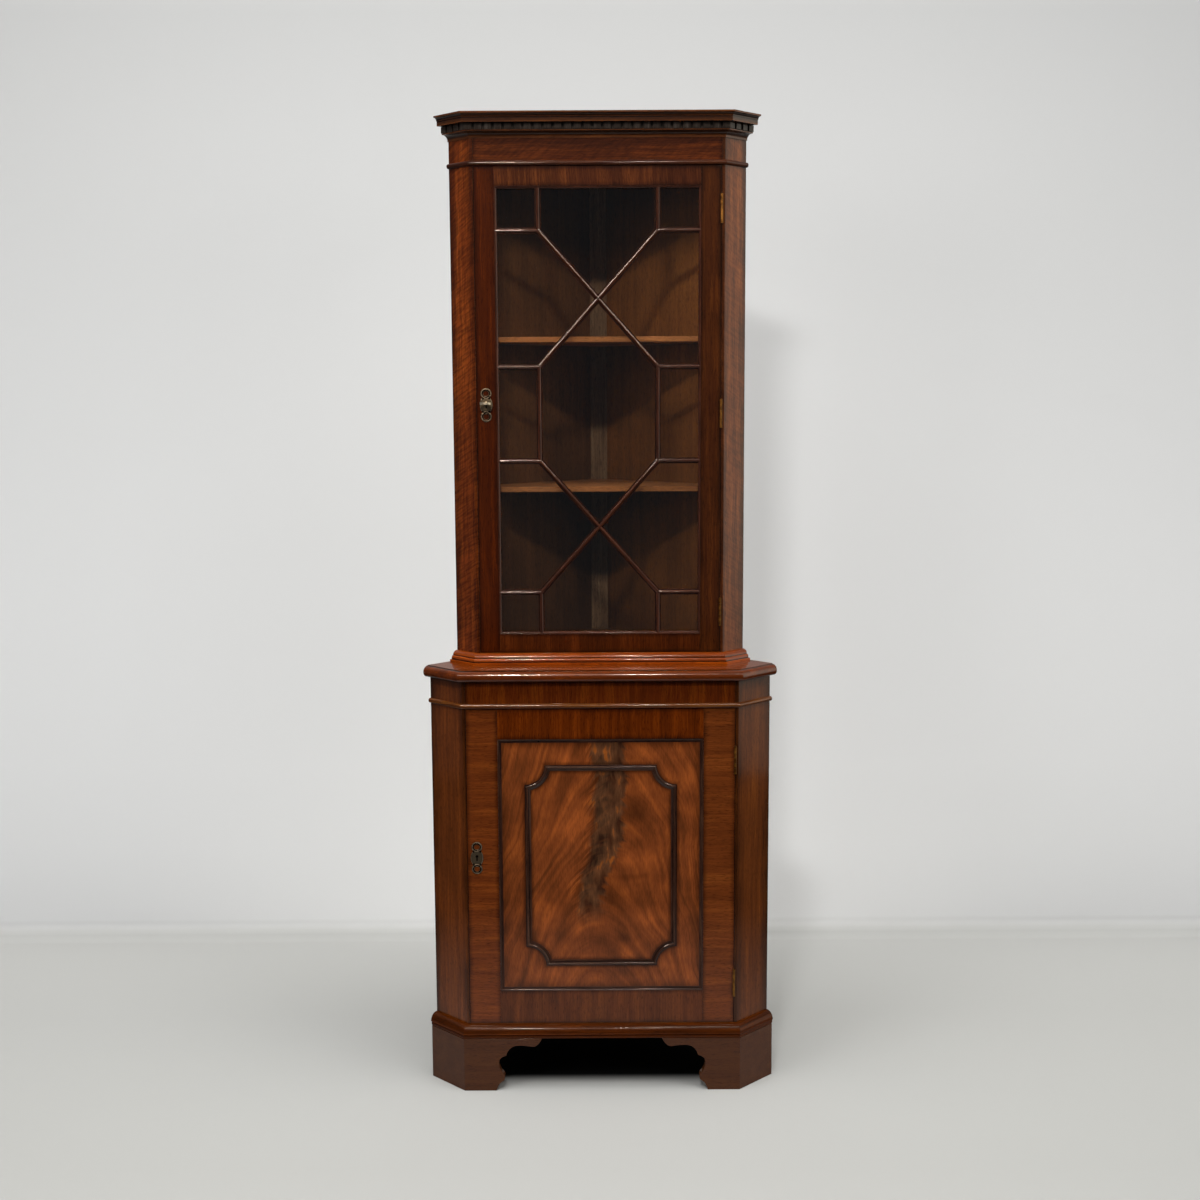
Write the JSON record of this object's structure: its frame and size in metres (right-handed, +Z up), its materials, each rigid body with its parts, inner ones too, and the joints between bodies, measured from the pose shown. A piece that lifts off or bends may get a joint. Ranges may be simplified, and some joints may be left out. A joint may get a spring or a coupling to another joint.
{
  "type": "corner cupboard",
  "caption": "Two-stage mahogany corner cupboard: astragal-glazed display door over a panelled cupboard door, canted sides, dentil cornice and bracket feet.",
  "frame": {"origin": "on the floor, at the centre of the rectangle that the cupboard fills in plan", "axes": "+Z up; -Y out of the doors; +Y back into the corner of the room; +X to the right as seen from the front"},
  "size_m": [0.6698, 0.3966, 1.83],
  "materials": {
    "mahogany": "straight-grained mahogany under glossy red-brown french polish",
    "dark_mahogany": "mahogany mouldings stained dark, glossy polish with worn lighter crests",
    "flame_mahogany": "crotch-figured mahogany veneer under glossy polish",
    "inner_wood": "stained veneered board, satin lacquer",
    "glass": "clear sheet glass",
    "brass": "dull rolled brass",
    "antique_brass": "cast brass, darkened with worn highlights",
    "steel": "dull nickel-plated steel"
  },
  "bodies": {
    "carcass": {"lower_side_left": "mahogany", "lower_side_right": "mahogany", "lower_back_left": "inner_wood", "lower_back_right": "inner_wood", "lower_rear_post": "inner_wood", "lower_frieze_rail": "mahogany", "lower_floor_board": "inner_wood", "lower_shelf": "inner_wood", "upper_side_left": "mahogany", "upper_side_right": "mahogany", "upper_back_left": "inner_wood", "upper_back_right": "inner_wood", "upper_rear_post": "inner_wood", "upper_frieze_rail": "mahogany", "upper_floor_board": "inner_wood", "upper_top_board": "inner_wood", "upper_middle_shelf": "inner_wood", "upper_high_shelf": "inner_wood", "foot_left": "mahogany", "foot_right": "mahogany", "base_moulding": "mahogany", "waist_slab": "mahogany", "waist_moulding": "mahogany", "lower_astragal": "dark_mahogany", "upper_astragal": "dark_mahogany", "cornice_left": "dark_mahogany", "cornice_front": "dark_mahogany", "cornice_right": "dark_mahogany", "dentil_course": "dark_mahogany", "upper_hinge_1_frame_leaf": "brass", "upper_hinge_2_frame_leaf": "brass", "upper_hinge_3_frame_leaf": "brass", "lower_hinge_1_frame_leaf": "brass", "lower_hinge_2_frame_leaf": "brass"},
    "upper_door": {"upper_door_stile_left": "mahogany", "upper_door_stile_right": "mahogany", "upper_door_top_rail": "mahogany", "upper_door_bottom_rail": "mahogany", "upper_glazing_bars": "dark_mahogany", "upper_glass": "glass", "upper_glazing_bead": "inner_wood", "upper_lock": "brass", "upper_escutcheon": "antique_brass", "upper_hinge_1_door_leaf": "brass", "upper_hinge_2_door_leaf": "brass", "upper_hinge_3_door_leaf": "brass"},
    "upper_bolt": {"upper_bolt": "brass"},
    "upper_key": {"upper_key": "steel"},
    "lower_door": {"lower_door_stile_left": "mahogany", "lower_door_stile_right": "mahogany", "lower_door_top_rail": "mahogany", "lower_door_bottom_rail": "mahogany", "lower_door_panel": "flame_mahogany", "lower_panel_bead": "dark_mahogany", "lower_panel_moulding": "dark_mahogany", "lower_lock": "brass", "lower_escutcheon": "antique_brass", "lower_hinge_1_door_leaf": "brass", "lower_hinge_2_door_leaf": "brass"},
    "lower_bolt": {"lower_bolt": "brass"}
  },
  "joints": [
    {"name": "upper_door_swing", "type": "hinge", "parent": "carcass", "child": "upper_door", "pos_m": [0.2275, -0.11395, 1.3], "axis": [0, 0, 1], "range_deg": [0, 135]},
    {"name": "lower_door_swing", "type": "hinge", "parent": "carcass", "child": "lower_door", "pos_m": [0.2524, -0.18455, 0.45], "axis": [0, 0, 1], "range_deg": [0, 135]},
    {"name": "upper_key_turn", "type": "hinge", "parent": "upper_door", "child": "upper_key", "pos_m": [-0.2096, -0.11, 1.3088], "axis": [0, 1, 0], "range_deg": [0, 180]},
    {"name": "upper_bolt_slide", "type": "slide", "parent": "upper_door", "child": "upper_bolt", "axis": [-1, 0, 0], "range_m": [0, 0.008]},
    {"name": "lower_bolt_slide", "type": "slide", "parent": "lower_door", "child": "lower_bolt", "axis": [-1, 0, 0], "range_m": [0, 0.008]}
  ],
  "couplings": [
    {"joint": "upper_bolt_slide", "follows": "upper_key_turn", "m_per_rad": 0.002546}
  ]
}
